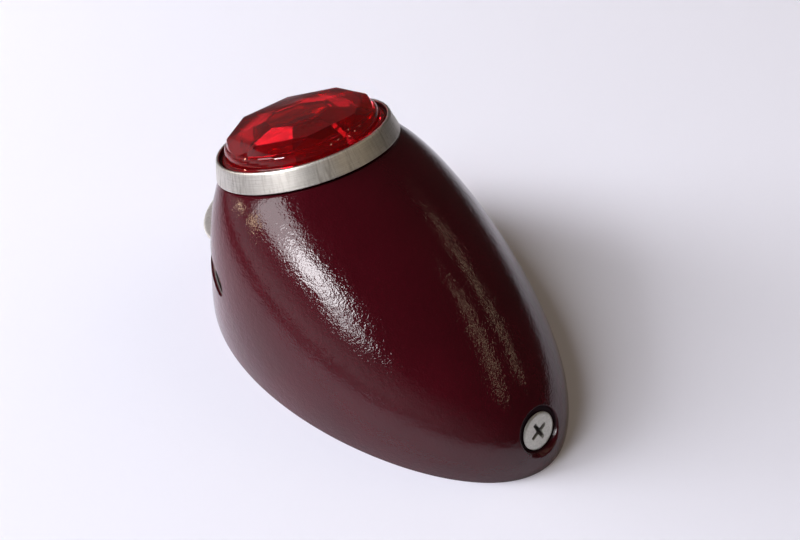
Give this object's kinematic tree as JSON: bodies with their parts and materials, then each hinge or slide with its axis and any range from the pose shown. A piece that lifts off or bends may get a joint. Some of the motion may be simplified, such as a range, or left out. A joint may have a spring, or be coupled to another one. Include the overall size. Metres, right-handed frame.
{
  "type": "motorcycle tail lamp",
  "caption": "Teardrop motorcycle tail lamp with a tilted faceted red lens in a bare metal bezel, a plate light window with its hood, and a bayonet bulb inside.",
  "frame": {"origin": "middle of the housing's rim length, on the mounting surface under it", "axes": "+X towards the nose with the cover screw, +Z away from the mudguard, +Y across"},
  "size_m": [0.113, 0.0742, 0.0558],
  "materials": {
    "maroon_paint": "glossy maroon paint with a light orange peel",
    "bare_steel": "bare sheet steel",
    "bezel_metal": "bare metal brushed across the band",
    "red_lens": "clear red moulded glass",
    "clear_pane": "clear bent celluloid",
    "black_rubber": "soft black rubber",
    "plated_steel": "dull zinc plate",
    "screw_steel": "bright zinc plate",
    "spring_steel": "drawn spring wire",
    "spring_brass": "hard sheet brass",
    "socket_brass": "dull pressed brass",
    "contact_brass": "turned brass",
    "bakelite": "dark brown bakelite",
    "cap_brass": "bright spun brass",
    "bulb_clear": "thin clear glass",
    "stem_glass": "pressed clear glass with nickel wires",
    "black_glass": "black vitreous insulator",
    "solder": "bright solder",
    "tungsten": "fine drawn wire"
  },
  "bodies": {
    "lamp": {"housing": "maroon_paint", "window_hood": "bare_steel", "window_pane": "clear_pane", "pane_clips": "spring_brass", "rear_catch": "plated_steel", "base_plate": "plated_steel", "captive_nut": "plated_steel", "cable_grommet": "black_rubber", "holder_bracket": "plated_steel", "bracket_rivets": "contact_brass", "socket_shell": "socket_brass", "socket_insulator": "bakelite", "contact_spring": "spring_steel"},
    "bezel": {"bezel_ring": "bezel_metal", "lens": "red_lens", "lens_gasket": "black_rubber", "lens_retaining_wire": "spring_steel"},
    "cover_screw": {"nose_screw": "screw_steel"},
    "contact": {"contact_carrier": "bakelite", "centre_contact": "contact_brass", "terminal_nut": "contact_brass"},
    "bulb": {"bulb_cap": "cap_brass", "bulb_glass": "bulb_clear", "bulb_insulator": "black_glass", "bulb_contact": "solder", "bulb_stem": "stem_glass", "filament": "tungsten"}
  },
  "joints": [
    {"name": "bezel_lift", "type": "slide", "parent": "lamp", "child": "bezel", "axis": [-0.3746, 0, 0.9272], "range_m": [0, 0.03]},
    {"name": "screw_out", "type": "slide", "parent": "lamp", "child": "cover_screw", "axis": [0.9205, 0, 0.3907], "range_m": [0, 0.016]},
    {"name": "bulb_push", "type": "slide", "parent": "lamp", "child": "contact", "axis": [1, 0, 0], "range_m": [0, 0.0015], "stiffness_N_per_m": 1000, "springref_m": -0.005, "deforming": ["contact_spring"]},
    {"name": "bulb_twist", "type": "hinge", "parent": "contact", "child": "bulb", "pos_m": [0, 0, 0.021], "axis": [1, 0, 0], "range_deg": [0, 17]}
  ]
}
